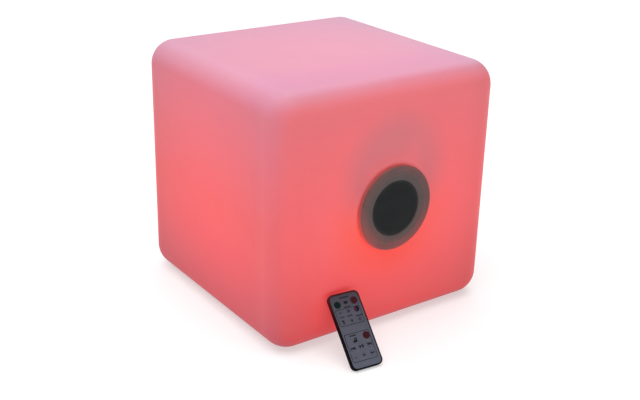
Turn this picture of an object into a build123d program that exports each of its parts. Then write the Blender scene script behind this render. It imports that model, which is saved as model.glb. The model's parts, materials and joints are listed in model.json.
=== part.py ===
from build123d import *
import math
import os

os.makedirs("parts", exist_ok=True)

# A light-up garden cube with a loudspeaker in its front face, a sealed lamp and
# battery module in its base, and its own card-sized handset leaning on it.
# Origin: centre of the cube's footprint, on the ground. +Z up, speaker face at -Y.

# ---------------------------------------------------------------- driving sizes (mm)
side = 300.0                # cube, across X and across Y
height = 293.0              # cube, ground to top
edge_r = 29.5               # rounding of every cube edge
wall = 4.0                  # moulded wall

recess_r = 78.0             # round recess under the cube
recess_depth = 10.0
module_hole_r = 62.0        # opening that the lamp module goes up through
fix_r = 68.5                # circle of the six module screws
fix_count = 6
insert_r = 2.8
screw_r = 2.0

flange_r = 75.0             # lamp module flange
flange_low, flange_top = 5.0, 8.5
cup_r, cup_wall, cup_top = 61.0, 3.0, 58.0
pocket_l, pocket_w = 76.0, 36.0      # control pocket under the module
pocket_top = 15.0
control_x = 18.0            # push button at -X, charging inlet at +X
button_r, button_travel = 6.8, 1.2
cap_hinge_y, cap_hinge_z = 6.8, 13.5

board_z = 24.0
led_z = 52.0
dome_r, dome_top, dome_wall = 50.5, 86.0, 2.0

speaker_z = 148.1           # height of the speaker axis
port_r = 41.0               # hole in the front wall
bezel_r = 49.6
grille_r = 32.0
barrel_r, barrel_in = 40.0, 36.0
can_r, can_wall = 54.0, 2.5

cable_d = 4.5

remote_w, remote_l, remote_t = 38.0, 85.7, 6.0
remote_corner = 6.0
remote_edge = 0.8           # rounding of the back rim
remote_x = -76.2            # middle of its lower edge, across the front
remote_lean = 45.3          # degrees above the ground
remote_yaw = -5.6           # degrees about the vertical: its left top corner rests on the cube
remote_gap = 0.3            # left between its top corner and the cube

front_y = -side / 2


# ---------------------------------------------------------------- placing helpers
def spk(t, r):
    """A point of a speaker section: t inwards from the cube's front face, r from the axis."""
    return (front_y + t, speaker_z + r)


def at_depth(t):
    """Plane across the speaker axis, t inwards from the front face, facing out."""
    return Plane.XZ.offset(-front_y - t)


speaker_axis = Axis((0, 0, speaker_z), (0, 1, 0))

lean, yaw = math.radians(remote_lean), math.radians(remote_yaw)
across = Vector(math.cos(yaw), math.sin(yaw), 0)
along = Vector(-math.sin(yaw) * math.cos(lean), math.cos(yaw) * math.cos(lean), math.sin(lean))
outward = across.cross(along)
# the lower edge stands on the ground and the left top corner of the back reaches the front face
core_w = remote_w / 2 - remote_corner
round_r = remote_corner - remote_edge
low = (
    -abs(across.Z) * core_w
    + along.Z * remote_corner
    - round_r * math.hypot(across.Z, along.Z)
    + outward.Z * remote_edge
    - remote_edge
)
far = (
    abs(across.Y) * core_w
    + along.Y * (remote_l - remote_corner)
    + round_r * math.hypot(across.Y, along.Y)
    + outward.Y * remote_edge
    + remote_edge
)
remote_origin = Vector(remote_x, front_y - remote_gap - far, -low)
print("remote origin", remote_origin, "outward", outward, "along", along, "across", across)
handset = Plane(origin=remote_origin, x_dir=across, z_dir=outward)


# ================================================================ the cube
with BuildPart(Plane.XY.offset(wall)) as shell_core:
    Box(side - 2 * wall, side - 2 * wall, height - 2 * wall,
        align=(Align.CENTER, Align.CENTER, Align.MIN))
    fillet(shell_core.edges(), radius=edge_r - wall)
    # the wall of the base recess and its screw bosses stand up into the hollow
    with BuildSketch(Plane.XY):
        Circle(recess_r + wall)
    extrude(amount=recess_depth + wall, mode=Mode.SUBTRACT)
    with BuildSketch(Plane.XY.offset(recess_depth)):
        with PolarLocations(fix_r, fix_count, start_angle=30):
            Circle(5.5)
    extrude(amount=12, mode=Mode.SUBTRACT)

with BuildPart() as cube_shell:
    Box(side, side, height, align=(Align.CENTER, Align.CENTER, Align.MIN))
    fillet(cube_shell.edges(), radius=edge_r)
    add(shell_core.part, mode=Mode.SUBTRACT)
    with BuildSketch(Plane.XY):
        Circle(recess_r)
    extrude(amount=recess_depth, mode=Mode.SUBTRACT)
    with BuildSketch(Plane.XY.offset(recess_depth)):
        Circle(module_hole_r)
    extrude(amount=wall, mode=Mode.SUBTRACT)
    with BuildSketch(Plane.XY.offset(recess_depth)):
        with PolarLocations(fix_r, fix_count, start_angle=30):
            Circle(insert_r)
    extrude(amount=9, mode=Mode.SUBTRACT)
    with BuildSketch(at_depth(0)):
        with Locations((0, speaker_z)):
            Circle(port_r)
    extrude(amount=-(wall + 1), mode=Mode.SUBTRACT)
    rim = [e for e in cube_shell.edges().filter_by(GeomType.CIRCLE)
           if abs(e.radius - recess_r) < 0.01 and abs(e.center().Z) < 0.01]
    fillet(rim, radius=1.5)
cube_shell.part.label = "cube_shell"
export_step(cube_shell.part, "parts/cube_shell.step")

with BuildPart() as threaded_inserts:
    with BuildSketch(Plane.XY.offset(recess_depth)):
        with PolarLocations(fix_r, fix_count, start_angle=30):
            Circle(insert_r)
            Circle(screw_r + 0.05, mode=Mode.SUBTRACT)
    extrude(amount=8)
threaded_inserts.part.label = "threaded_inserts"
export_step(threaded_inserts.part, "parts/threaded_inserts.step")

# ================================================================ lamp module
post_spots = [(29.7, 29.7), (-29.7, 29.7), (29.7, -29.7), (-29.7, -29.7)]
ear_x = 6.2                 # ears of the flap hinge, either side of the inlet

with BuildPart() as base_housing:
    with BuildSketch(Plane.XZ):
        with BuildLine():
            Polyline((0, flange_low), (flange_r - 1, flange_low), (flange_r, flange_low + 1),
                     (flange_r, flange_top), (cup_r, flange_top), (cup_r, cup_top),
                     (cup_r - cup_wall, cup_top), (cup_r - cup_wall, 8.0), (0, 8.0), close=True)
        make_face()
    revolve(axis=Axis.Z)
    # control pocket, open downwards
    with BuildSketch(Plane.XY.offset(flange_low)):
        SlotOverall(pocket_l + 6, pocket_w + 6)
    extrude(amount=pocket_top + 3 - flange_low)
    with BuildSketch(Plane.XY.offset(flange_low)):
        SlotOverall(pocket_l, pocket_w)
    extrude(amount=pocket_top - flange_low, mode=Mode.SUBTRACT)
    # stepped posts: control board on the step, lamp board on the top
    with BuildSketch(Plane.XY.offset(6)):
        with Locations(*post_spots):
            Circle(4.5)
    extrude(amount=board_z - 6)
    with BuildSketch(Plane.XY.offset(board_z)):
        with Locations(*post_spots):
            Circle(3.0)
    extrude(amount=led_z - board_z)
    # dome screw bosses inside the rim
    with BuildSketch(Plane.XY.offset(44)) as rim_bosses:
        with PolarLocations(54.5, 4, start_angle=0):
            Circle(4.2)
    extrude(amount=cup_top - 44)
    with BuildSketch(Plane.XY.offset(46)):
        with PolarLocations(54.5, 4, start_angle=0):
            Circle(1.55)
    extrude(amount=cup_top - 46, mode=Mode.SUBTRACT)
    # module screw holes
    with BuildSketch(Plane.XY.offset(flange_low)):
        with PolarLocations(fix_r, fix_count, start_angle=30):
            Circle(screw_r + 0.25)
    extrude(amount=flange_top - flange_low, mode=Mode.SUBTRACT)
    # button and inlet holes
    with BuildSketch(Plane.XY.offset(pocket_top)):
        with Locations((-control_x, 0)):
            Circle(button_r + 0.2)
        with Locations((control_x, 0)):
            Circle(4.7)
    extrude(amount=3, mode=Mode.SUBTRACT)
    # raised ring around the button
    with BuildSketch(Plane.XY.offset(pocket_top)):
        with Locations((-control_x, 0)):
            Circle(9.2)
            Circle(button_r + 0.6, mode=Mode.SUBTRACT)
    extrude(amount=-1.2)
    # hinge ears of the inlet flap
    with BuildSketch(Plane.YZ.offset(control_x + ear_x - 1.0)):
        with Locations((cap_hinge_y, cap_hinge_z + 0.35)):
            Rectangle(3.4, 3.3)
        with Locations((cap_hinge_y, cap_hinge_z)):
            Circle(0.85, mode=Mode.SUBTRACT)
    extrude(amount=2)
    with BuildSketch(Plane.YZ.offset(control_x - ear_x - 1.0)):
        with Locations((cap_hinge_y, cap_hinge_z + 0.35)):
            Rectangle(3.4, 3.3)
        with Locations((cap_hinge_y, cap_hinge_z)):
            Circle(0.85, mode=Mode.SUBTRACT)
    extrude(amount=2)
    # speaker cable hole in the cup wall
    with BuildSketch(Plane.XZ.offset(cup_r + 1)):
        with Locations((0, 38)):
            Circle(3.2)
    extrude(amount=-6, mode=Mode.SUBTRACT)
base_housing.part.label = "base_housing"
export_step(base_housing.part, "parts/base_housing.step")

with BuildPart() as base_gasket:
    with BuildSketch(Plane.XY.offset(flange_top)):
        Circle(flange_r)
        Circle(module_hole_r + 0.5, mode=Mode.SUBTRACT)
        with PolarLocations(fix_r, fix_count, start_angle=30):
            Circle(screw_r + 0.3, mode=Mode.SUBTRACT)
    extrude(amount=recess_depth - flange_top)
base_gasket.part.label = "base_gasket"
export_step(base_gasket.part, "parts/base_gasket.step")

with BuildPart() as base_screws:
    with BuildSketch(Plane.XY.offset(2.4)):
        with PolarLocations(fix_r, fix_count, start_angle=30):
            Circle(3.8)
    extrude(amount=2.6)
    fillet([e for e in base_screws.edges().filter_by(GeomType.CIRCLE)
            if abs(e.center().Z - 2.4) < 0.01], radius=0.9)
    with BuildSketch(Plane.XY.offset(5)):
        with PolarLocations(fix_r, fix_count, start_angle=30):
            Circle(screw_r)
    extrude(amount=12)
    with BuildSketch(Plane.XY.offset(2.4)):
        with PolarLocations(fix_r, fix_count, start_angle=30):
            Rectangle(4.4, 0.9)
            Rectangle(0.9, 4.4)
    extrude(amount=1.3, mode=Mode.SUBTRACT)
base_screws.part.label = "base_screws"
export_step(base_screws.part, "parts/base_screws.step")

with BuildPart() as light_dome:
    with BuildSketch(Plane.XZ):
        with BuildLine():
            Polyline((cup_r, 59), (cup_r, 61.5), (dome_r, 61.5), (dome_r, dome_top - 14))
            RadiusArc((dome_r, dome_top - 14), (dome_r - 14, dome_top), -14)
            Polyline((dome_r - 14, dome_top), (0, dome_top), (0, dome_top - dome_wall),
                     (dome_r - 14, dome_top - dome_wall))
            RadiusArc((dome_r - 14, dome_top - dome_wall), (dome_r - dome_wall, dome_top - 14), 12)
            Polyline((dome_r - dome_wall, dome_top - 14), (dome_r - dome_wall, 59), (cup_r, 59))
        make_face()
    revolve(axis=Axis.Z)
    with BuildSketch(Plane.XY.offset(59)):
        with PolarLocations(54.5, 4, start_angle=0):
            Circle(1.7)
    extrude(amount=2.5, mode=Mode.SUBTRACT)
light_dome.part.label = "light_dome"
export_step(light_dome.part, "parts/light_dome.step")

with BuildPart() as dome_seal:
    with BuildSketch(Plane.XY.offset(cup_top)):
        Circle(60.6)
        Circle(59.0, mode=Mode.SUBTRACT)
    extrude(amount=1.0)
dome_seal.part.label = "dome_seal"
export_step(dome_seal.part, "parts/dome_seal.step")

with BuildPart() as dome_screws:
    with BuildSketch(Plane.XY.offset(61.5)):
        with PolarLocations(54.5, 4, start_angle=0):
            Circle(2.7)
    extrude(amount=2.0)
    fillet([e for e in dome_screws.edges().filter_by(GeomType.CIRCLE)
            if abs(e.center().Z - 63.5) < 0.01], radius=0.7)
    with BuildSketch(Plane.XY.offset(61.5)):
        with PolarLocations(54.5, 4, start_angle=0):
            Circle(1.4)
    extrude(amount=-14)
    with BuildSketch(Plane.XY.offset(63.5)):
        with PolarLocations(54.5, 4, start_angle=0):
            Rectangle(3.0, 0.7)
            Rectangle(0.7, 3.0)
    extrude(amount=-1.0, mode=Mode.SUBTRACT)
dome_screws.part.label = "dome_screws"
export_step(dome_screws.part, "parts/dome_screws.step")

with BuildPart() as led_board:
    with BuildSketch(Plane.XY.offset(led_z)):
        Circle(48.0)
        with Locations(*post_spots):
            Circle(1.3, mode=Mode.SUBTRACT)
    extrude(amount=1.6)
led_board.part.label = "led_board"
export_step(led_board.part, "parts/led_board.step")

with BuildPart() as rgb_leds:
    with BuildSketch(Plane.XY.offset(led_z + 1.6)):
        with PolarLocations(36, 12, start_angle=15):
            Rectangle(5, 5)
        with PolarLocations(17, 4, start_angle=45):
            Rectangle(5, 5)
    extrude(amount=1.6)
    with BuildSketch(Plane.XY.offset(led_z + 3.2)):
        with PolarLocations(36, 12, start_angle=15):
            Circle(2.1)
        with PolarLocations(17, 4, start_angle=45):
            Circle(2.1)
    extrude(amount=-0.4, mode=Mode.SUBTRACT)
rgb_leds.part.label = "rgb_leds"
export_step(rgb_leds.part, "parts/rgb_leds.step")

with BuildPart() as ir_receiver:
    with BuildSketch(Plane.XY.offset(led_z + 1.6)):
        Rectangle(6, 5)
    extrude(amount=6.5)
    with BuildSketch(Plane.XZ.offset(2.5)):
        with Locations((0, led_z + 5.2)):
            Circle(2.2)
    extrude(amount=1.6)
ir_receiver.part.label = "ir_receiver"
export_step(ir_receiver.part, "parts/ir_receiver.step")

with BuildPart() as control_board:
    with BuildSketch(Plane.XY.offset(board_z)):
        Circle(50.0)
        with Locations(*post_spots):
            Circle(3.3, mode=Mode.SUBTRACT)
    extrude(amount=1.6)
control_board.part.label = "control_board"
export_step(control_board.part, "parts/control_board.step")

# amplifier, radio module, charger chip, coil, two capacitors and two sockets
with BuildPart() as board_components:
    with BuildSketch(Plane.XY.offset(board_z + 1.6)):
        with Locations((-10, 34)):
            Rectangle(14, 11)
        with Locations((12, 34)):
            Rectangle(9, 9)
        with Locations((-41, 8)):
            Rectangle(7, 6)
    extrude(amount=1.8)
    with BuildSketch(Plane.XY.offset(board_z + 1.6)):
        with Locations((42, -6)):
            Rectangle(8, 8)
        with Locations((14, -34)):
            Rectangle(10, 6)
        with Locations((-8, -36)):
            Rectangle(8, 6)
    extrude(amount=6.0)
    with BuildSketch(Plane.XY.offset(board_z + 1.6)):
        with Locations((41, 9), (-41, -9)):
            Circle(4.0)
    extrude(amount=11.0)
board_components.part.label = "board_components"
export_step(board_components.part, "parts/board_components.step")

cell_z, cell_r, cell_y = 39.5, 9.2, 9.45
with BuildPart() as battery_cells:
    with BuildSketch(Plane.YZ.offset(-32.5)):
        with Locations((-cell_y, cell_z), (cell_y, cell_z)):
            Circle(cell_r)
    extrude(amount=65)
    fillet(battery_cells.edges().filter_by(GeomType.CIRCLE), radius=0.8)
    with BuildSketch(Plane.YZ.offset(32.5)):
        with Locations((-cell_y, cell_z), (cell_y, cell_z)):
            Circle(2.8)
    extrude(amount=1.0)
battery_cells.part.label = "battery_cells"
export_step(battery_cells.part, "parts/battery_cells.step")

with BuildPart() as battery_straps:
    for x_strap in (-25.0, 13.0):
        with BuildSketch(Plane.YZ.offset(x_strap)):
            with Locations((0, cell_z)):
                SlotCenterToCenter(2 * cell_y, 2 * (cell_r + 2.1))
            with Locations((-cell_y, 28.1), (cell_y, 28.1)):
                Rectangle(7, 5.0)
            with Locations((0, cell_z)):
                SlotCenterToCenter(2 * cell_y, 2 * (cell_r + 0.1), mode=Mode.SUBTRACT)
        extrude(amount=12)
battery_straps.part.label = "battery_straps"
export_step(battery_straps.part, "parts/battery_straps.step")

with BuildPart() as switch_body:
    with BuildSketch(Plane.XY.offset(21.0)):
        with Locations((-control_x, 0)):
            RectangleRounded(6.2, 6.2, 0.6)
    extrude(amount=board_z - 21.0)
switch_body.part.label = "switch_body"
export_step(switch_body.part, "parts/switch_body.step")

with BuildPart() as power_button:
    with BuildSketch(Plane.XY.offset(10.6)):
        with Locations((-control_x, 0)):
            Circle(button_r)
    extrude(amount=7.5)
    fillet([e for e in power_button.edges().filter_by(GeomType.CIRCLE)
            if abs(e.center().Z - 10.6) < 0.01], radius=0.9)
    with BuildSketch(Plane.XY.offset(18.1)):
        with Locations((-control_x, 0)):
            Circle(8.6)
    extrude(amount=1.4)
power_button.part.label = "power_button"
export_step(power_button.part, "parts/power_button.step")

with BuildPart() as charge_jack:
    with BuildSketch(Plane.XY.offset(pocket_top + 3)):
        with Locations((control_x, 0)):
            Rectangle(10.5, 10.5)
    extrude(amount=board_z - pocket_top - 3)
    with BuildSketch(Plane.XY.offset(pocket_top)):
        with Locations((control_x, 0)):
            Circle(4.6)
    extrude(amount=3)
    with BuildSketch(Plane.XY.offset(pocket_top)):
        with Locations((control_x, 0)):
            Circle(2.8)
    extrude(amount=7.5, mode=Mode.SUBTRACT)
    with BuildSketch(Plane.XY.offset(pocket_top + 0.8)):
        with Locations((control_x, 0)):
            Circle(1.05)
    extrude(amount=7.2)
charge_jack.part.label = "charge_jack"
export_step(charge_jack.part, "parts/charge_jack.step")

# flap over the charging inlet: plate, hinge barrel and its two stub pins
with BuildPart() as jack_cap:
    with BuildSketch(Plane.XY.offset(13.3)):
        with Locations((control_x, 0)):
            Circle(5.9)
        with Locations((control_x, 3.4)):
            Rectangle(9.6, 6.8)
    extrude(amount=1.5)
    fillet([e for e in jack_cap.edges().group_by(Axis.Z)[0]
            if e.center().Y < 3.0 and e.geom_type == GeomType.CIRCLE], radius=0.5)
    with BuildSketch(Plane.YZ.offset(control_x - 4.8)):
        with Locations((cap_hinge_y, cap_hinge_z)):
            Circle(1.3)
    extrude(amount=9.6)
    with BuildSketch(Plane.YZ.offset(control_x - 6.9)):
        with Locations((cap_hinge_y, cap_hinge_z)):
            Circle(0.8)
    extrude(amount=13.8)
    # finger lip at the free end
    with BuildSketch(Plane.XY.offset(13.3)):
        with Locations((control_x, -5.1)):
            Rectangle(5.0, 1.2)
    extrude(amount=-0.8)
jack_cap.part.label = "jack_cap"
export_step(jack_cap.part, "parts/jack_cap.step")

can_low = speaker_z - can_r          # lowest line of the speaker can
cable_y = -96.0
with BuildPart() as cable_grommets:
    # through the underside of the speaker can
    with BuildSketch(Plane.XY.offset(can_low - 2.0)):
        with Locations((0, cable_y)):
            Circle(5.0)
    extrude(amount=1.9)
    with BuildSketch(Plane.XY.offset(can_low - 0.1)):
        with Locations((0, cable_y)):
            Circle(3.15)
    extrude(amount=3.0)
    with BuildSketch(Plane.XY.offset(can_low + 2.9)):
        with Locations((0, cable_y)):
            Circle(5.0)
    extrude(amount=1.4)
    with BuildSketch(Plane.XY.offset(can_low - 3)):
        with Locations((0, cable_y)):
            Circle(cable_d / 2 + 0.12)
    extrude(amount=9, mode=Mode.SUBTRACT)
    # through the wall of the module cup
    with BuildSketch(Plane.XZ.offset(cup_r + 0.1)):
        with Locations((0, 38)):
            Circle(5.0)
    extrude(amount=1.9)
    with BuildSketch(Plane.XZ.offset(cup_r + 0.1)):
        with Locations((0, 38)):
            Circle(3.1)
    extrude(amount=-3.6)
    with BuildSketch(Plane.XZ.offset(cup_r - 3.5)):
        with Locations((0, 38)):
            Circle(5.0)
    extrude(amount=-1.4)
    with BuildSketch(Plane.XZ.offset(cup_r + 3)):
        with Locations((0, 38)):
            Circle(cable_d / 2 + 0.12)
    extrude(amount=-9, mode=Mode.SUBTRACT)
cable_grommets.part.label = "cable_grommets"
export_step(cable_grommets.part, "parts/cable_grommets.step")

# speaker lead, held inside all the way: from the driver down into the lamp module
cable_points = [(0, -120, speaker_z - 26), (0, -104, speaker_z - 29), (0, cable_y, 107), (0, cable_y, 58),
                (0, -82, 38), (0, -52, 38)]
cable_radii = []
for before, here, after in zip(cable_points, cable_points[1:], cable_points[2:]):
    one, two = Vector(*here) - Vector(*before), Vector(*after) - Vector(*here)
    turn = math.radians(one.get_angle(two))
    cable_radii.append(0.45 * min(one.length, two.length) / math.tan(turn / 2))
print("speaker cable radii", [round(r, 1) for r in cable_radii])

with BuildPart() as speaker_cable:
    with BuildLine() as cable_path:
        FilletPolyline(*cable_points, radius=cable_radii)
    with BuildSketch(Plane(origin=cable_points[0], z_dir=cable_path.line % 0)):
        Circle(cable_d / 2)
    sweep(path=cable_path.line)
cable_section = math.pi * (cable_d / 2) ** 2
cable_length = sum(e.length for e in cable_path.line.edges())
print("speaker cable length", round(cable_length, 1), "volume", round(speaker_cable.part.volume, 1),
      "section x length", round(cable_section * cable_length, 1))
speaker_cable.part.label = "speaker_cable"
export_step(speaker_cable.part, "parts/speaker_cable.step")

# ================================================================ loudspeaker
screw_ring = 33.2           # circle of the driver's four screws

with BuildPart() as speaker_bezel:
    with BuildSketch(Plane.YZ):
        with BuildLine():
            Polyline(spk(-1, 40), spk(-1, bezel_r), spk(-3.4, bezel_r))
            RadiusArc(spk(-3.4, bezel_r), spk(-5, bezel_r - 1.6), 1.6)
            Polyline(spk(-5, bezel_r - 1.6), spk(-5, 44.6), spk(-4.7, 44.3), spk(-4.7, 38.9), spk(-4.4, 38.6),
                     spk(-4.2, grille_r + 0.9), spk(-3.8, grille_r + 0.1), spk(-2.7, grille_r + 0.1),
                     spk(-2.7, 29.5), spk(1.5, 29.5), spk(1.5, barrel_in), spk(28, barrel_in),
                     spk(28, barrel_r), spk(-1, barrel_r))
        make_face()
    revolve(axis=speaker_axis)
    with BuildSketch(at_depth(1.5)):
        with Locations((0, speaker_z)):
            with PolarLocations(screw_ring, 4, start_angle=45):
                Circle(1.05)
    extrude(amount=2.3, mode=Mode.SUBTRACT)
speaker_bezel.part.label = "speaker_bezel"
export_step(speaker_bezel.part, "parts/speaker_bezel.step")

with BuildPart() as bezel_gasket:
    with BuildSketch(at_depth(0)):
        with Locations((0, speaker_z)):
            Circle(48.6)
            Circle(port_r + 0.3, mode=Mode.SUBTRACT)
    extrude(amount=1.0)
bezel_gasket.part.label = "bezel_gasket"
export_step(bezel_gasket.part, "parts/bezel_gasket.step")

with BuildPart() as speaker_grille:
    with BuildSketch(at_depth(-2.7)):
        with Locations((0, speaker_z)):
            Circle(grille_r)
    extrude(amount=1.0)
speaker_grille.part.label = "speaker_grille"
export_step(speaker_grille.part, "parts/speaker_grille.step")

with BuildPart() as speaker_frame:
    with BuildSketch(Plane.YZ):
        with BuildLine():
            Polyline(spk(1.5, 35), spk(3.1, 35), spk(3.1, 31.6), spk(15.7, 25.8), spk(15.7, 22.6),
                     spk(23.4, 22.6), spk(23.4, 13), spk(21.9, 13), spk(21.9, 21.4), spk(15.7, 21.4),
                     spk(15.7, 19), spk(14.5, 19), spk(14.5, 25.0), spk(3.1, 30.2), spk(3.1, 27.0),
                     spk(2.3, 27.0), spk(2.3, 29.3), spk(1.5, 29.3), close=True)
        make_face()
    revolve(axis=speaker_axis)
    # windows in the basket
    with BuildSketch(at_depth(4.2)):
        with Locations((0, speaker_z)):
            with PolarLocations(28, 6, start_angle=0):
                Rectangle(11, 15)
    extrude(amount=-9.2, mode=Mode.SUBTRACT)
    with BuildSketch(at_depth(1.5)):
        with Locations((0, speaker_z)):
            with PolarLocations(screw_ring, 4, start_angle=45):
                Circle(1.15)
    extrude(amount=-1.6, mode=Mode.SUBTRACT)
speaker_frame.part.label = "speaker_frame"
export_step(speaker_frame.part, "parts/speaker_frame.step")

with BuildPart() as top_plate:
    with BuildSketch(at_depth(23.4)):
        with Locations((0, speaker_z)):
            Circle(17.5)
            Circle(8.45, mode=Mode.SUBTRACT)
    extrude(amount=-3.0)
top_plate.part.label = "top_plate"
export_step(top_plate.part, "parts/top_plate.step")

with BuildPart() as magnet:
    with BuildSketch(at_depth(26.4)):
        with Locations((0, speaker_z)):
            Circle(20)
            Circle(11, mode=Mode.SUBTRACT)
    extrude(amount=-8.0)
    fillet([e for e in magnet.edges().filter_by(GeomType.CIRCLE) if abs(e.radius - 20) < 0.01], radius=0.7)
magnet.part.label = "magnet"
export_step(magnet.part, "parts/magnet.step")

with BuildPart() as yoke:
    with BuildSketch(Plane.YZ):
        with BuildLine():
            Polyline(spk(22.5, 0), spk(22.5, 7.05), spk(34.4, 7.05), spk(34.4, 17.5), spk(37.4, 16.9),
                     spk(37.4, 0), close=True)
        make_face()
    revolve(axis=speaker_axis)
yoke.part.label = "yoke"
export_step(yoke.part, "parts/yoke.step")

with BuildPart() as voice_coil:
    with BuildSketch(at_depth(12)):
        with Locations((0, speaker_z)):
            Circle(8.0)
            Circle(7.5, mode=Mode.SUBTRACT)
    extrude(amount=-16)
voice_coil.part.label = "voice_coil"
export_step(voice_coil.part, "parts/voice_coil.step")

with BuildPart() as speaker_cone:
    with BuildSketch(Plane.YZ):
        with BuildLine():
            Polyline(spk(2.35, 24.2), spk(2.35, 22.6), spk(12.0, 8.0), spk(13.0, 8.0), spk(13.0, 8.45),
                     spk(12.4, 8.45), spk(2.85, 22.95), spk(2.85, 24.2), close=True)
        make_face()
    revolve(axis=speaker_axis)
speaker_cone.part.label = "speaker_cone"
export_step(speaker_cone.part, "parts/speaker_cone.step")

# shallow spherical cap: radius and centre from its rim and its apex
cap_rim_t, cap_rim_r, cap_apex_t, cap_skin = 10.9, 9.3, 8.2, 0.45
cap_rise = cap_rim_t - cap_apex_t
cap_ball = (cap_rim_r ** 2 + cap_rise ** 2) / (2 * cap_rise)
with BuildPart() as dust_cap:
    with BuildSketch(at_depth(cap_rim_t)):
        with Locations((0, speaker_z)):
            Circle(cap_rim_r + 2)
    extrude(amount=5)
    with Locations((0, front_y + cap_apex_t + cap_ball, speaker_z)):
        Sphere(cap_ball, mode=Mode.INTERSECT)
        Sphere(cap_ball - cap_skin, mode=Mode.SUBTRACT)
dust_cap.part.label = "dust_cap"
export_step(dust_cap.part, "parts/dust_cap.step")

with BuildPart() as cone_surround:
    with BuildSketch(Plane.YZ):
        with Locations(spk(2.3, 25.7)):
            Circle(1.5)
            Circle(0.9, mode=Mode.SUBTRACT)
        with Locations(spk(2.3 + 1.0, 25.7)):
            Rectangle(2.0, 4.0, mode=Mode.SUBTRACT)
        with Locations(spk(2.0, (26.8 + 29.2) / 2)):
            Rectangle(0.6, 29.2 - 26.8)
        with Locations(spk(2.0, (22.7 + 24.6) / 2)):
            Rectangle(0.6, 24.6 - 22.7)
    revolve(axis=speaker_axis)
cone_surround.part.label = "cone_surround"
export_step(cone_surround.part, "parts/cone_surround.step")

spider_line = [(14.0, 8.05), (14.0, 9.6), (13.2, 11.0), (14.2, 12.4), (13.2, 13.8), (14.2, 15.2),
               (13.2, 16.6), (14.0, 18.0), (14.0, 19.4), (14.0, 24.4)]
with BuildPart() as spider:
    with BuildSketch(Plane.YZ):
        with BuildLine():
            Polyline(*[spk(t, r) for t, r in spider_line],
                     *[spk(t + 0.5, r) for t, r in reversed(spider_line)], close=True)
        make_face()
    revolve(axis=speaker_axis)
spider.part.label = "spider"
export_step(spider.part, "parts/spider.step")

with BuildPart() as speaker_screws:
    with BuildSketch(at_depth(3.1)):
        with Locations((0, speaker_z)):
            with PolarLocations(screw_ring, 4, start_angle=45):
                Circle(1.6)
    extrude(amount=-1.3)
    with BuildSketch(at_depth(3.1)):
        with Locations((0, speaker_z)):
            with PolarLocations(screw_ring, 4, start_angle=45):
                Circle(1.0)
    extrude(amount=3.7)
speaker_screws.part.label = "speaker_screws"
export_step(speaker_screws.part, "parts/speaker_screws.step")

with BuildPart() as clamp_ring:
    with BuildSketch(at_depth(wall)):
        with Locations((0, speaker_z)):
            Circle(52)
            Circle(barrel_r + 0.1, mode=Mode.SUBTRACT)
    extrude(amount=-8)
    # spanner notches
    with BuildSketch(at_depth(wall + 2)):
        with Locations((0, speaker_z)):
            with PolarLocations(52, 8, start_angle=0):
                Rectangle(8, 7)
    extrude(amount=-6, mode=Mode.SUBTRACT)
clamp_ring.part.label = "clamp_ring"
export_step(clamp_ring.part, "parts/clamp_ring.step")

with BuildPart() as rear_enclosure:
    with BuildSketch(Plane.YZ):
        with BuildLine():
            Polyline(spk(14, barrel_r + 0.1), spk(14, can_r - 2), spk(16, can_r), spk(77, can_r), spk(81.5, can_r - 4.5),
                     spk(81.5, 0), spk(79, 0), spk(79, can_r - can_wall - 3.5), spk(76, can_r - can_wall),
                     spk(16.5, can_r - can_wall), spk(16.5, 43.6), spk(24, 43.6), spk(24, barrel_r + 0.1),
                     close=True)
        make_face()
    revolve(axis=speaker_axis)
    with BuildSketch(Plane.XY.offset(can_low - 1)):
        with Locations((0, cable_y)):
            Circle(3.2)
    extrude(amount=5, mode=Mode.SUBTRACT)
rear_enclosure.part.label = "rear_enclosure"
export_step(rear_enclosure.part, "parts/rear_enclosure.step")

# ================================================================ handset
# In its own plane: across from the centre line, along from the lower end, out from the back.
body_t = 4.5
seat_n = 3.75                                       # seat of the circuit board
overlay_low, overlay_top = 5.35, 5.85
tray_w, tray_l = 23.0, 26.8
window_w, window_l = 35.2, 82.2                     # opening of the front frame
window_u, window_v = -0.25, 42.4                    # and its middle
ledge = 1.8                                         # width of the ledge under the printed film

with BuildPart() as remote_body:
    with BuildSketch(handset):
        with Locations((0, remote_l / 2)):
            RectangleRounded(remote_w, remote_l, remote_corner)
    extrude(amount=body_t)
    fillet(remote_body.faces().sort_by(Axis(handset.origin, handset.z_dir))[0].edges(), radius=remote_edge)
    # seat of the circuit board
    with BuildSketch(handset.offset(seat_n)):
        with Locations((0, 43.0)):
            RectangleRounded(34.4, 81.0, 4.0)
    extrude(amount=body_t - seat_n, mode=Mode.SUBTRACT)
    # hollow above the battery bay
    with BuildSketch(handset.offset(1.0)):
        with Locations((0, 56.0)):
            RectangleRounded(33.0, 54.0, 2.0)
    extrude(amount=2.9, mode=Mode.SUBTRACT)
    # battery bay, open at the lower end
    with BuildSketch(handset.offset(0.62)):
        with Locations((0, 13.1)):
            Rectangle(tray_w + 0.6, 28.2)
    extrude(amount=seat_n + 0.1 - 0.62, mode=Mode.SUBTRACT)
    # hole for the infra-red diode in the top end
    with BuildSketch(Plane(origin=handset.from_local_coords((0, 82, 2.4)), x_dir=across, z_dir=along)):
        Circle(1.35)
    extrude(amount=5, mode=Mode.SUBTRACT)
remote_body.part.label = "remote_body"
export_step(remote_body.part, "parts/remote_body.step")

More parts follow.
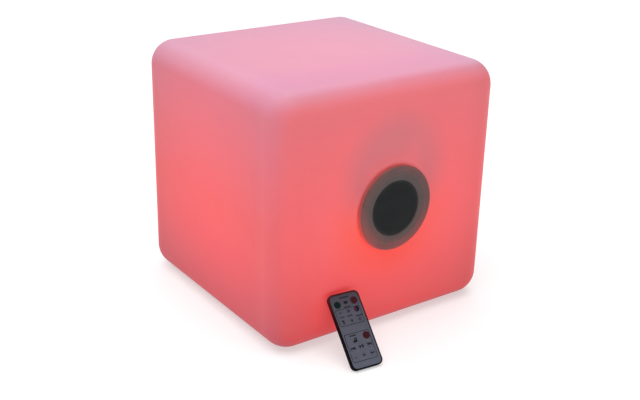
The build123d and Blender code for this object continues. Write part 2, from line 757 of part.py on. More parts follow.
with BuildPart() as remote_front_frame:
    with BuildSketch(handset.offset(body_t)):
        with Locations((0, remote_l / 2)):
            RectangleRounded(remote_w, remote_l, remote_corner)
        with Locations((window_u, window_v)):
            RectangleRounded(window_w - 2 * ledge, window_l - 2 * ledge, 3.0, mode=Mode.SUBTRACT)
    extrude(amount=overlay_low - body_t)
    with BuildSketch(handset.offset(overlay_low)):
        with Locations((0, remote_l / 2)):
            RectangleRounded(remote_w, remote_l, remote_corner)
        with Locations((window_u, window_v)):
            RectangleRounded(window_w + 0.1, window_l + 0.1, 4.75, mode=Mode.SUBTRACT)
    extrude(amount=remote_t - overlay_low)
    front_loop = [e for e in remote_front_frame.edges()
                  if abs(handset.to_local_coords(e.center()).Z - remote_t) < 0.01
                  and (abs(handset.to_local_coords(e.center()).X - window_u) > window_w / 2 + 0.5
                       or abs(handset.to_local_coords(e.center()).Y - window_v) > window_l / 2 + 0.5
                       or (e.geom_type == GeomType.CIRCLE and e.radius > 5.5))]
    fillet(front_loop, radius=0.6)
remote_front_frame.part.label = "remote_front_frame"
export_step(remote_front_frame.part, "parts/remote_front_frame.step")

# keys: name, across, along, radius
col_l, col_m, col_r = -10.85, -0.35, 10.05
keys = [
    ("key_light_on", col_l, 73.3, 3.9), ("key_light_mode", col_m, 74.2, 2.6), ("key_light_off", 10.4, 74.6, 4.1),
    ("key_dimmer", col_l, 63.9, 2.6), ("key_brighter", col_m, 64.2, 2.6), ("key_colour", col_r, 64.5, 3.2),
    ("key_fade", col_l, 53.6, 2.6), ("key_flash", col_m, 53.2, 2.6), ("key_timer", col_r, 52.9, 2.6),
    ("key_source", -5.25, 31.9, 3.5), ("key_sound_off", col_r, 34.0, 4.2),
    ("key_previous", col_l, 23.3, 3.2), ("key_play", col_m, 23.6, 3.2), ("key_next", col_r, 23.9, 3.2),
    ("key_volume_down", col_l, 13.5, 2.6), ("key_mute", col_m, 13.9, 2.6), ("key_volume_up", col_r, 14.0, 2.7),
]

with BuildPart() as remote_keypad:
    with BuildSketch(handset.offset(overlay_low)):
        with Locations((window_u, window_v)):
            RectangleRounded(window_w, window_l, 4.7)
        for key_name, key_u, key_v, key_r in keys:
            with Locations((key_u, key_v)):
                Circle(key_r + 0.15, mode=Mode.SUBTRACT)
    extrude(amount=overlay_top - overlay_low)
remote_keypad.part.label = "remote_keypad"
export_step(remote_keypad.part, "parts/remote_keypad.step")

for key_name, key_u, key_v, key_r in keys:
    with BuildPart() as key:
        with BuildSketch(handset.offset(4.75)):
            with Locations((key_u, key_v)):
                Circle(key_r + 0.6)
        extrude(amount=0.4)
        with BuildSketch(handset.offset(5.15)):
            with Locations((key_u, key_v)):
                Circle(key_r)
        extrude(amount=0.95)
        fillet([e for e in key.edges().filter_by(GeomType.CIRCLE)
                if handset.to_local_coords(e.center()).Z > 6.05], radius=0.2)
    key.part.label = key_name
    export_step(key.part, "parts/" + key_name + ".step")

with BuildPart() as remote_board:
    with BuildSketch(handset.offset(3.8)):
        with Locations((0, 43.0)):
            RectangleRounded(34.0, 80.6, 3.8)
    extrude(amount=0.55)
remote_board.part.label = "remote_board"
export_step(remote_board.part, "parts/remote_board.step")

with BuildPart() as remote_ir_led:
    with BuildSketch(Plane(origin=handset.from_local_coords((0, 78.6, 2.4)), x_dir=across, z_dir=along)):
        Circle(1.25)
    extrude(amount=7.7)
    fillet([e for e in remote_ir_led.edges().filter_by(GeomType.CIRCLE)
            if handset.to_local_coords(e.center()).Y > 86], radius=1.05)
remote_ir_led.part.label = "remote_ir_led"
export_step(remote_ir_led.part, "parts/remote_ir_led.step")

with BuildPart() as remote_battery_tray:
    with BuildSketch(handset.offset(0.75)):
        with Locations((0, tray_l / 2)):
            Rectangle(tray_w, tray_l)
    extrude(amount=2.8)
    with BuildSketch(handset.offset(1.05)):
        with Locations((0, 14.6)):
            Circle(10.15)
    extrude(amount=3.0, mode=Mode.SUBTRACT)
    # thumb notch in the open end of the tray
    with BuildSketch(handset.offset(2.9)):
        with Locations((0, 0)):
            Circle(3.4)
    extrude(amount=1.0, mode=Mode.SUBTRACT)
remote_battery_tray.part.label = "remote_battery_tray"
export_step(remote_battery_tray.part, "parts/remote_battery_tray.step")

with BuildPart() as remote_coin_cell:
    with BuildSketch(handset.offset(1.1)):
        with Locations((0, 14.6)):
            Circle(10.0)
    extrude(amount=2.5)
    fillet([e for e in remote_coin_cell.edges().filter_by(GeomType.CIRCLE)
            if handset.to_local_coords(e.center()).Z < 1.2], radius=0.4)
remote_coin_cell.part.label = "remote_coin_cell"
export_step(remote_coin_cell.part, "parts/remote_coin_cell.step")
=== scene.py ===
import json
import math

import bpy
from mathutils import Matrix, Vector


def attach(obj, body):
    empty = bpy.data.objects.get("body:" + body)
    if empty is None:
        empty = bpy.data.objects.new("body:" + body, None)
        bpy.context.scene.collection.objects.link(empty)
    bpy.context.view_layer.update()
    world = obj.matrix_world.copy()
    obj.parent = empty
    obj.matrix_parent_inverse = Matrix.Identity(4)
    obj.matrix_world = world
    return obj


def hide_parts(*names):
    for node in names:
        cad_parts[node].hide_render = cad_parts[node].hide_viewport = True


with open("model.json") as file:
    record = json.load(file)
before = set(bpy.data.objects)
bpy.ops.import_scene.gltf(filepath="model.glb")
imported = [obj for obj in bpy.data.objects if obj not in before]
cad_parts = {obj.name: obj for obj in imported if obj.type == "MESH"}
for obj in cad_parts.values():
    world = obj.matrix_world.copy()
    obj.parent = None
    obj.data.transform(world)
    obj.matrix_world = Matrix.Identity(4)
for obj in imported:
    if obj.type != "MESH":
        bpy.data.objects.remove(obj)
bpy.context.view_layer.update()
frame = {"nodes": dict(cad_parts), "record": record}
scene = bpy.context.scene
scene.view_settings.view_transform = "Standard"
scene.view_settings.look = "None"
scene.view_settings.exposure = 0.0
scene.view_settings.gamma = 1.0

MM = 0.001
SIDE, HEIGHT = 300.0, 293.0
SPEAKER_Z = 148.1
FRONT_Y = -150.0


# ------------------------------------------------------------------ camera
def add_camera():
    az, el, roll = math.radians(-35.7139), math.radians(22.5081), math.radians(1.4384)
    target = Vector((8.16, 0.0, 101.79)) * MM
    back = Vector((math.sin(az) * math.cos(el), -math.cos(az) * math.cos(el), math.sin(el)))
    place = target + back * 1.27047
    z = back
    x = Vector((0, 0, 1)).cross(z).normalized()
    y = z.cross(x)
    right = math.cos(roll) * x + math.sin(roll) * y
    up = -math.sin(roll) * x + math.cos(roll) * y
    data = bpy.data.cameras.new("camera")
    data.sensor_fit = "HORIZONTAL"
    data.sensor_width = 36.0
    data.lens = 36.0 * 1032.94 / 640.0
    data.clip_start, data.clip_end = 0.02, 60.0
    cam = bpy.data.objects.new("camera", data)
    m = Matrix((right, up, z)).transposed().to_4x4()
    m.translation = place
    cam.matrix_world = m
    scene.collection.objects.link(cam)
    scene.camera = cam


add_camera()


# ------------------------------------------------------------------ node helpers
class Val:
    """A socket of a node tree, with arithmetic that adds Math nodes."""

    def __init__(self, nt, sock):
        self.nt, self.sock = nt, sock

    def _op(self, op, other=None, third=None, clamp=False, flip=False):
        n = self.nt.nodes.new("ShaderNodeMath")
        n.operation = op
        n.use_clamp = clamp
        args = [self, other, third]
        if flip:
            args[0], args[1] = args[1], args[0]
        for i, a in enumerate(args):
            if a is None:
                continue
            if isinstance(a, Val):
                self.nt.links.new(a.sock, n.inputs[i])
            else:
                n.inputs[i].default_value = float(a)
        return Val(self.nt, n.outputs[0])

    def __add__(self, o): return self._op("ADD", o)
    def __radd__(self, o): return self._op("ADD", o)
    def __sub__(self, o): return self._op("SUBTRACT", o)
    def __rsub__(self, o): return self._op("SUBTRACT", o, flip=True)
    def __mul__(self, o): return self._op("MULTIPLY", o)
    def __rmul__(self, o): return self._op("MULTIPLY", o)
    def __truediv__(self, o): return self._op("DIVIDE", o)
    def __neg__(self): return self._op("MULTIPLY", -1.0)
    def abs(self): return self._op("ABSOLUTE")
    def sqrt(self): return self._op("SQRT")
    def min(self, o): return self._op("MINIMUM", o)
    def max(self, o): return self._op("MAXIMUM", o)
    def clamp(self): return self._op("ADD", 0.0, clamp=True)
    def sin(self): return self._op("SINE")

    def fall(self):
        """exp(-self), a soft bell when self is a squared distance"""
        n = self.nt.nodes.new("ShaderNodeMath")
        n.operation = "POWER"
        n.inputs[0].default_value = 0.36787944
        self.nt.links.new(self.sock, n.inputs[1])
        return Val(self.nt, n.outputs[0])

    def smooth(self, lo, hi, to_lo=0.0, to_hi=1.0):
        n = self.nt.nodes.new("ShaderNodeMapRange")
        n.interpolation_type = "SMOOTHSTEP"
        self.nt.links.new(self.sock, n.inputs[0])
        a, b, c, d = lo, hi, to_lo, to_hi
        if lo > hi:
            a, b, c, d = hi, lo, to_hi, to_lo
        for i, v in zip((1, 2, 3, 4), (a, b, c, d)):
            n.inputs[i].default_value = v
        return Val(self.nt, n.outputs[0])

    def ramp(self, lo, hi, to_lo=0.0, to_hi=1.0):
        n = self.nt.nodes.new("ShaderNodeMapRange")
        self.nt.links.new(self.sock, n.inputs[0])
        for i, v in zip((1, 2, 3, 4), (lo, hi, to_lo, to_hi)):
            n.inputs[i].default_value = v
        return Val(self.nt, n.outputs[0])


class Mat:
    """A node material with one Principled shader and handy texture calls in object space."""

    def __init__(self, name):
        self.mat = bpy.data.materials.new(name)
        self.mat.use_nodes = True
        self.nt = self.mat.node_tree
        self.bsdf = next(n for n in self.nt.nodes if n.type == "BSDF_PRINCIPLED")
        self.tc = self.nt.nodes.new("ShaderNodeTexCoord")

    def xyz(self, scale=1000.0):
        s = self.nt.nodes.new("ShaderNodeSeparateXYZ")
        self.nt.links.new(self.tc.outputs["Object"], s.inputs[0])
        return [Val(self.nt, s.outputs[i]) * scale for i in range(3)]

    def normal(self):
        s = self.nt.nodes.new("ShaderNodeSeparateXYZ")
        self.nt.links.new(self.tc.outputs["Normal"], s.inputs[0])
        return [Val(self.nt, s.outputs[i]) for i in range(3)]

    def mapped(self, stretch=(1, 1, 1), rotate=(0, 0, 0)):
        m = self.nt.nodes.new("ShaderNodeMapping")
        m.inputs["Scale"].default_value = stretch
        m.inputs["Rotation"].default_value = rotate
        self.nt.links.new(self.tc.outputs["Object"], m.inputs["Vector"])
        return m.outputs[0]

    def noise(self, scale, detail=3.0, rough=0.55, stretch=None, rotate=(0, 0, 0)):
        n = self.nt.nodes.new("ShaderNodeTexNoise")
        n.inputs["Scale"].default_value = scale
        n.inputs["Detail"].default_value = detail
        n.inputs["Roughness"].default_value = rough
        v = self.mapped(stretch, rotate) if stretch else self.tc.outputs["Object"]
        self.nt.links.new(v, n.inputs["Vector"])
        return Val(self.nt, n.outputs[0])

    def voronoi(self, scale, feature="F1", stretch=None):
        n = self.nt.nodes.new("ShaderNodeTexVoronoi")
        n.feature = feature
        n.inputs["Scale"].default_value = scale
        v = self.mapped(stretch) if stretch else self.tc.outputs["Object"]
        self.nt.links.new(v, n.inputs["Vector"])
        return Val(self.nt, n.outputs[0])

    def wave(self, scale, direction="X", distortion=0.0, stretch=None, kind="BANDS"):
        n = self.nt.nodes.new("ShaderNodeTexWave")
        n.wave_type = kind
        if kind == "BANDS":
            n.bands_direction = direction
        n.inputs["Scale"].default_value = scale
        n.inputs["Distortion"].default_value = distortion
        v = self.mapped(stretch) if stretch else self.tc.outputs["Object"]
        self.nt.links.new(v, n.inputs["Vector"])
        return Val(self.nt, n.outputs[1])

    def mix(self, fac, a, b):
        n = self.nt.nodes.new("ShaderNodeMix")
        n.data_type = "RGBA"
        n.clamp_factor = True
        if isinstance(fac, Val):
            self.nt.links.new(fac.sock, n.inputs[0])
        else:
            n.inputs[0].default_value = fac
        for i, c in ((6, a), (7, b)):
            if isinstance(c, Val):
                self.nt.links.new(c.sock, n.inputs[i])
            else:
                n.inputs[i].default_value = (*c[:3], 1.0)
        return Val(self.nt, n.outputs[2])

    def rgb(self, r, g, b):
        n = self.nt.nodes.new("ShaderNodeCombineColor")
        for i, v in enumerate((r, g, b)):
            if isinstance(v, Val):
                self.nt.links.new(v.sock, n.inputs[i])
            else:
                n.inputs[i].default_value = v
        return Val(self.nt, n.outputs[0])

    def set(self, name, value):
        if isinstance(value, Val):
            self.nt.links.new(value.sock, self.bsdf.inputs[name])
        elif isinstance(value, (tuple, list)):
            self.bsdf.inputs[name].default_value = (*value[:3], 1.0)
        else:
            self.bsdf.inputs[name].default_value = value
        return self

    def bump(self, height, distance, strength=1.0, under=None):
        n = self.nt.nodes.new("ShaderNodeBump")
        n.inputs["Strength"].default_value = strength
        n.inputs["Distance"].default_value = distance
        self.nt.links.new(height.sock, n.inputs["Height"])
        if under is not None:
            self.nt.links.new(under.outputs[0], n.inputs["Normal"])
        self.nt.links.new(n.outputs[0], self.bsdf.inputs["Normal"])
        return n


def finish_of(name, base, rough=0.45, vary=0.12, cloud=18.0, rough_vary=0.1, grain=900.0, grain_mm=0.03,
              peel=140.0, peel_mm=0.0, metallic=0.0, coat=0.0, spec=0.5, stretch=None, wear=None, wear_at=0.64):
    """Moulded, painted or metal finish: clouded colour, uneven gloss, grain in the surface, and wear if asked."""
    m = Mat(name)
    big = m.noise(cloud, 4.0, 0.6, stretch)
    fine = m.noise(grain, 2.0, 0.5, stretch)
    lo = tuple(max(0.0, c * (1 - vary)) for c in base)
    hi = tuple(min(1.0, c * (1 + vary) + 0.004) for c in base)
    colour = m.mix(big.ramp(0.3, 0.7), lo, hi)
    if wear is not None:
        worn = m.noise(cloud * 5.0, 6.0, 0.7).smooth(wear_at, wear_at + 0.08, 0.0, 0.55)
        colour = m.mix(worn, colour, wear)
    m.set("Base Color", colour)
    m.set("Roughness", (big * rough_vary + fine * (rough_vary * 0.6) + (rough - rough_vary * 0.8)).clamp())
    m.set("Metallic", metallic).set("Specular IOR Level", spec)
    if coat:
        m.set("Coat Weight", coat).set("Coat Roughness", 0.12)
    b = m.bump(fine, grain_mm * MM, 0.6)
    if peel_mm:
        m.bump(m.noise(peel, 2.0, 0.4), peel_mm * MM, 0.5, under=b)
    return m


# ------------------------------------------------------------------ materials
def bell(d, width, e=None, height=None):
    """Soft bump, 1 in the middle: d is the distance from it on one axis, e on another."""
    t = d * d * (0.5 / width ** 2)
    if e is not None:
        t = t + e * e * (0.5 / height ** 2)
    return t.fall()


def shell_material():
    """Milky wall lit from inside by a red lamp low in the middle: the glow is widest at mid height, weaker at the
    corners, near the floor and in the soft shadow that the speaker can throws on the front wall."""
    m = Mat("shell")
    x, y, z = m.xyz()
    nx, ny, nz = m.normal()
    top = (nz - 0.04 * ny.abs()).smooth(0.44, 0.98)
    # painted light: the top and its rounded edges get a paler, bluer base colour below, as light from above falls on
    # them
    top_light_front = 0.2 * nz.smooth(0.30, 0.75) + 0.8 * nz.smooth(0.78, 1.02)
    top_light_side = 0.6 * nz.smooth(0.05, 0.60) + 0.4 * nz.smooth(0.60, 1.05)
    top_light = top_light_side + (top_light_front - top_light_side) * (-ny).smooth(0.02, 0.55)
    low = (-nz).smooth(0.2, 0.95)
    front = (-ny).smooth(0.45, 0.93)
    # side and back walls
    lat = x.abs().min((y + 11.0).abs()).min(130.0)
    up, down = (z - 120.0).max(0.0), (120.0 - z).max(0.0)
    around = 0.539 * bell(lat, 160.0, up, 168.0) * bell(down, 80.0) - 0.020 * lat.smooth(100, 150)
    # painted light: a brighter glow on the side walls near the front edge, more on the right
    around = around + (0.080 + 0.035 * x.smooth(-1.0, 1.0)) * y.smooth(-105.0, -148.0) * z.smooth(50.0, 200.0, 0.3, 1.0)
    # front wall
    up, down = (z - 160.0).max(0.0), (160.0 - z).max(0.0)
    face = 0.258 + 0.272 * bell(x, 214.0, up, 121.0) * bell(down, 74.7) - 0.038 * bell(x - 124.0, 13.0)
    face = face - x.smooth(-110, -145) * z.smooth(30.0, 120.0, 0.062, 0.010)
    ds = z - 186.0
    shade = (x * x + ds * ds).sqrt().smooth(86.0, 41.5)
    # painted light: a lighter patch inside the painted can shadow
    lit_patch = bell(x - 24.0, 12.0, z - 212.0, 12.0)
    # painted light: a hot spot of glow just below the speaker
    hot = bell(x + 4.0, 42.0, z - 95.0, 20.0)
    dr = z - SPEAKER_Z
    off = (x * x + dr * dr).sqrt()
    # painted light: a bright band just above the ring and one low at its left; painted shade: darker spots at both
    # sides of the ring
    lit_band_above_ring = bell(off - 53.0, 4.5) * (dr - 0.15 * x.abs()).smooth(22.0, 46.0)
    shade_beside_ring = bell(x + 46.5, 6.5, z - 176.0, 11.0) + 0.4 * bell(x - 47.0, 7.0, z - 176.0, 11.0)
    lit_band_below_ring = bell(off - 52.0, 5.0) * (x + 0.8 * dr).smooth(10.0, -40.0)
    face = face - 0.20 * shade + 0.06 * lit_patch + 0.179 * bell(x + 11.5, 90.0, z - 80.0, 60.0)
    # painted light: a brighter red patch on the front wall just left of the remote
    face = face + 0.062 * lit_band_above_ring - 0.062 * shade_beside_ring + 0.05 * lit_band_below_ring + 0.07 * bell(x + 98.0, 9.0, z - 42.0, 15.0)
    side = around + (face - around) * front
    ceiling = 0.085 + 0.267 * bell(x + 10.0, 170.0, y + 22.0, 152.0) - 0.03 * x.smooth(95.0, 128.0)
    glow = side + (ceiling - side) * top
    glow = glow * (1.0 - 0.45 * low)
    # cloudy wall thickness
    cloud = m.noise(9.0, 2.0, 0.5)
    mottle = m.noise(42.0, 3.0, 0.55)
    glow = glow * (0.945 + 0.07 * cloud + 0.04 * mottle)
    glow = glow.max(0.0)
    m.set("Emission Color", m.rgb(glow, glow * 0.004, glow * 0.003))
    m.set("Emission Strength", 1.0)
    # milky plastic over the red light; its green and blue carry painted light and shade: paler higher up, redder in the
    # painted hot glow round and below the speaker ring, bluer in the painted can shadow, a paler painted band just
    # outside the ring at its upper left, darker at the front corners and near the floor, paler at the front corner of
    # the left wall
    glow_round_ring = off.smooth(98.0, 50.0) * dr.smooth(30.0, -8.0)
    lit_ring_band = bell(off - 51.5, 2.4) * (dr - 0.5 * x).smooth(-10.0, 30.0)
    warm_glow = glow_round_ring + 0.7 * bell(x + 50.0, 18.0, z - 128.0, 22.0)
    # painted shade: darker near the floor
    low_shade = z.smooth(34.0, 16.0)
    green_f = 0.113 + 0.00026 * z - 0.012 * z.smooth(120, 36) + 0.014 * shade - 0.017 * hot - 0.008 * warm_glow
    green_f = green_f - 0.010 * x.abs().smooth(95.0, 145.0) - 0.024 * low_shade
    blue_f = 0.115 + 0.00034 * z - 0.010 * z.smooth(110, 36) + 0.021 * shade - 0.030 * hot - 0.028 * warm_glow
    blue_f = blue_f - 0.010 * x.abs().smooth(95.0, 145.0) - 0.022 * low_shade
    # painted light: paler near the front corner of the left wall
    near = y.smooth(-98.0, -132.0) * x.smooth(1.0, -1.0)
    green_f = green_f + 0.036 * lit_ring_band
    blue_f = blue_f + 0.034 * lit_ring_band
    green_s = 0.090 + 0.00022 * z + 0.00022 * (z - 150.0).max(0.0) - 0.020 * low_shade + 0.016 * near
    blue_s = 0.117 + 0.0001 * z + 0.00065 * (z - 140.0).max(0.0) - 0.022 * low_shade + 0.021 * near
    green = green_s + (green_f - green_s) * front
    blue = blue_s + (blue_f - blue_s) * front
    # painted light: green and blue move towards the paler top colour on the top and its rounded edges
    green = green + (0.296 + 0.0001 * x - 0.027 * y.smooth(-30.0, -130.0) - green) * top_light
    green = green + 0.016 * x.smooth(95.0, 128.0) * top
    blue = blue + (0.390 + 0.0001 * x - 0.018 * y.smooth(-95.0, -130.0) + 0.018 * x.smooth(95.0, 128.0) - blue) * top_light
    even = 0.985 + 0.03 * mottle
    pale = m.rgb(0.40 * even, green * even, blue * even)
    # faint scuffs low down, where it is set on stone and grass
    scuff = m.noise(160.0, 6.0, 0.75).smooth(0.62, 0.70) * z.smooth(16, 2)
    m.set("Base Color", m.mix(scuff * 0.35, pale, (0.30, 0.16, 0.16)))
    fine = m.noise(1100.0, 2.0, 0.5)
    m.set("Roughness", (0.44 + 0.10 * m.noise(26.0, 3.0, 0.6) + 0.05 * fine).clamp())
    m.set("Specular IOR Level", 0.26)
    m.set("IOR", 1.5)
    b = m.bump(fine, 0.05 * MM, 0.55)
    m.bump(m.noise(95.0, 2.0, 0.4), 0.22 * MM, 0.35, under=b)
    return m.mat


def bezel_material():
    """Smoky grey ring with painted red light: a painted glow, most of it low and towards its outer edge, and an outer
    side wall painted redder.
    """
    m = Mat("bezel")
    x, y, z = m.xyz()
    dz = z - SPEAKER_Z
    r = (x * x + dz * dz).sqrt()
    big = m.noise(55.0, 3.0, 0.6)
    spots = m.noise(30.0, 2.0, 0.5)
    outer = r.smooth(33.0, 49.0)
    lower = (-(x * 0.25 + dz)).smooth(-14.0, 30.0)
    # painted light: red glow spots low left, at the bottom and low right
    left = bell(x + 30.0, 12.0, dz + 27.0, 12.0)
    base = bell(x - 3.0, 9.0, dz + 44.0, 5.0)
    right = bell(x - 38.0, 8.0, dz + 21.0, 14.0)
    # painted light: the outer side wall is painted redder in base colour and glows red
    red_lit_side_wall = (y + 150.0).smooth(-5.1, -2.2) * r.smooth(46.5, 48.6)
    grey = m.mix(big.ramp(0.3, 0.7), (0.066, 0.054, 0.050), (0.081, 0.065, 0.061))
    m.set("Base Color", m.mix(red_lit_side_wall * 0.6, grey, (0.115, 0.060, 0.052)))
    leak = 0.004 + outer * (0.056 + 0.085 * lower) * spots.ramp(0.35, 0.65, 0.75, 1.25)
    leak = leak + 0.042 * left + 0.04 * base + 0.02 * right + red_lit_side_wall * (0.25 + 0.18 * lower)
    m.set("Emission Color", m.rgb(leak, leak * 0.02 + 0.020 * red_lit_side_wall, leak * 0.015 + 0.018 * red_lit_side_wall))
    m.set("Emission Strength", 1.0)
    fine = m.noise(1300.0, 2.0, 0.5)
    m.set("Roughness", (0.40 + 0.10 * big + 0.05 * fine).clamp())
    m.set("Specular IOR Level", 0.36)
    turned = (r * 9.0).sin()
    b = m.bump(turned, 0.012 * MM, 0.35)
    m.bump(fine, 0.02 * MM, 0.4, under=b)
    return m.mat


def overlay_material(name, base, gloss=0.36, spec=0.30, fade=False):
    """Printed film or ink; with fade it carries painted light and shade: lighter and bluer low down, and warmer and
    darker towards the top end of the remote, a painted red reflection and painted shade from the wall it leans on.
    """
    m = Mat(name)
    big = m.noise(60.0, 3.0, 0.6)
    fine = m.noise(2400.0, 2.0, 0.5)
    prints = m.voronoi(3200.0)
    lo = tuple(c * 0.93 for c in base)
    hi = tuple(min(1, c * 1.07) for c in base)
    c = m.mix(big.ramp(0.3, 0.7), lo, hi)
    if fade:
        x, y, z = m.xyz()
        v = (x + 76.2) * 0.0686 + (y + 211.25) * 0.7000 + (z + 0.33) * 0.7108
        # painted light: lighter and bluer low down
        c = m.mix(v.ramp(2.0, 45.0, 1.0, 0.0) * 0.8, c, tuple(b * k for b, k in zip(base, (1.17, 1.27, 1.28))))
        # painted red reflection and painted shade: warmer and darker towards the top end
        c = m.mix(v.smooth(56.0, 84.0) * 0.95, c, tuple(b * k for b, k in zip(base, (0.62, 0.50, 0.54))))
    c = m.mix(prints.smooth(0.1, 0.6, 0.08, 0.0), c, tuple(min(1, v * 1.3 + 0.01) for v in base))
    m.set("Base Color", c)
    m.set("Roughness", (gloss + 0.12 * big + 0.08 * fine - 0.08).clamp())
    m.set("Specular IOR Level", spec)
    m.bump(fine, 0.012 * MM, 0.5)
    return m.mat


def remote_plastic_material():
    """Black moulded plastic: matt low down, smoother and warmer near the top end, where the red wall shines on it."""
    m = Mat("remote_plastic")
    x, y, z = m.xyz()
    v = (x + 76.2) * 0.0686 + (y + 211.25) * 0.7000 + (z + 0.33) * 0.7108
    big = m.noise(55.0, 4.0, 0.6)
    fine = m.noise(1700.0, 2.0, 0.5)
    c = m.mix(big.ramp(0.3, 0.7), (0.0030, 0.0024, 0.0034), (0.0055, 0.0046, 0.0062))
    worn = m.noise(275.0, 6.0, 0.7).smooth(0.66, 0.74, 0.0, 0.5)
    c = m.mix(v.smooth(38.0, 84.0), c, (0.040, 0.003, 0.004))
    m.set("Base Color", m.mix(worn, c, (0.009, 0.008, 0.009)))
    m.set("Roughness", (0.42 + 0.10 * big + 0.06 * fine).clamp())
    m.set("Specular IOR Level", v.smooth(52.0, 84.0, 0.015, 0.20))
    m.bump(fine, 0.02 * MM, 0.5)
    return m.mat


def board_material(name, base, track):
    m = Mat(name)
    lines = m.wave(160.0, "DIAGONAL", 6.0).smooth(0.72, 0.80)
    islands = m.noise(140.0, 2.0, 0.5).smooth(0.5, 0.53)
    big = m.noise(40.0, 3.0, 0.6)
    c = m.mix(big.ramp(0.3, 0.7), tuple(v * 0.85 for v in base), tuple(min(1, v * 1.1) for v in base))
    c = m.mix(lines * islands, c, track)
    m.set("Base Color", c)
    m.set("Roughness", (0.30 + 0.15 * big).clamp()).set("Specular IOR Level", 0.5)
    m.bump(lines * islands, 0.03 * MM, 0.6)
    return m.mat


def brushed(name, base, rough=0.3, along=(1, 1, 14)):
    m = Mat(name)
    hair = m.noise(700.0, 3.0, 0.6, stretch=tuple(1.0 / s for s in along))
    big = m.noise(60.0, 3.0, 0.6)
    m.set("Base Color", m.mix(big.ramp(0.3, 0.7), tuple(v * 0.82 for v in base), base))
    m.set("Metallic", 1.0)
    m.set("Roughness", (rough - 0.06 + 0.18 * hair + 0.06 * big).clamp())
    m.bump(hair, 0.02 * MM, 0.5)
    return m.mat


def weave(name, base, pitch_mm=0.6):
    m = Mat(name)
    s = 1.0 / (pitch_mm * MM) / 6.2832 * 3.1416
    a, b = m.wave(s, "X"), m.wave(s, "Z")
    threads = a * b
    big = m.noise(90.0, 3.0, 0.6)
    c = m.mix(threads, tuple(v * 0.55 for v in base), base)
    m.set("Base Color", m.mix(big.ramp(0.3, 0.7) * 0.4, c, tuple(min(1, v * 1.2) for v in base)))
    m.set("Roughness", (0.75 + 0.15 * big).clamp())
    m.bump(threads, 0.12 * MM, 0.8)
    return m.mat


def led_material():
    m = Mat("led")
    x, y, z = m.xyz()
    big = m.noise(300.0, 2.0, 0.5)
    m.set("Base Color", m.mix(big.ramp(0.3, 0.7), (0.86, 0.80, 0.74), (0.95, 0.92, 0.86)))
    hot = z.smooth(54.4, 55.0)
    m.set("Emission Color", m.rgb(0.3 + 2.2 * hot, 0.04 + 0.10 * hot, 0.04 + 0.12 * hot))
    m.set("Emission Strength", 1.0)
    m.set("Roughness", (0.25 + 0.15 * big).clamp())
    m.bump(big, 0.03 * MM, 0.4)
    return m.mat


def battery_material():
    m = Mat("battery_wrap")
    x, y, z = m.xyz()
    wrinkle = m.noise(220.0, 3.0, 0.6, stretch=(1.0, 0.25, 0.25))
    ends = x.abs().smooth(31.6, 32.6)
    body = m.mix(wrinkle.ramp(0.3, 0.7), (0.030, 0.115, 0.30), (0.045, 0.150, 0.37))
    m.set("Base Color", m.mix(ends, body, (0.55, 0.55, 0.56)))
    m.set("Metallic", ends)
    m.set("Roughness", (0.22 + 0.2 * wrinkle).clamp())
    m.bump(wrinkle, 0.12 * MM, 0.5)
    return m.mat


def dome_material():
    m = Mat("dome")
    big = m.noise(30.0, 3.0, 0.5)
    fine = m.noise(1500.0, 2.0, 0.5)
    x, y, z = m.xyz()
    glow = (z - 58.0).smooth(0.0, 28.0, 0.35, 0.9)
    m.set("Base Color", m.mix(big.ramp(0.3, 0.7), (0.80, 0.78, 0.79), (0.90, 0.89, 0.90)))
    m.set("Emission Color", m.rgb(glow, glow * 0.12, glow * 0.12)).set("Emission Strength", 1.0)
    m.set("Roughness", (0.42 + 0.12 * big + 0.05 * fine).clamp())
    m.bump(fine, 0.03 * MM, 0.5)
    return m.mat


def copper_material():
    m = Mat("copper")
    x, y, z = m.xyz()
    turns = (y * 14.0).sin()
    big = m.noise(200.0, 2.0, 0.5)
    m.set("Base Color", m.mix(turns.ramp(-1, 1), (0.42, 0.16, 0.08), (0.82, 0.42, 0.26)))
    m.set("Metallic", 1.0).set("Roughness", (0.28 + 0.15 * big).clamp())
    m.bump(turns, 0.10 * MM, 0.8)
    return m.mat


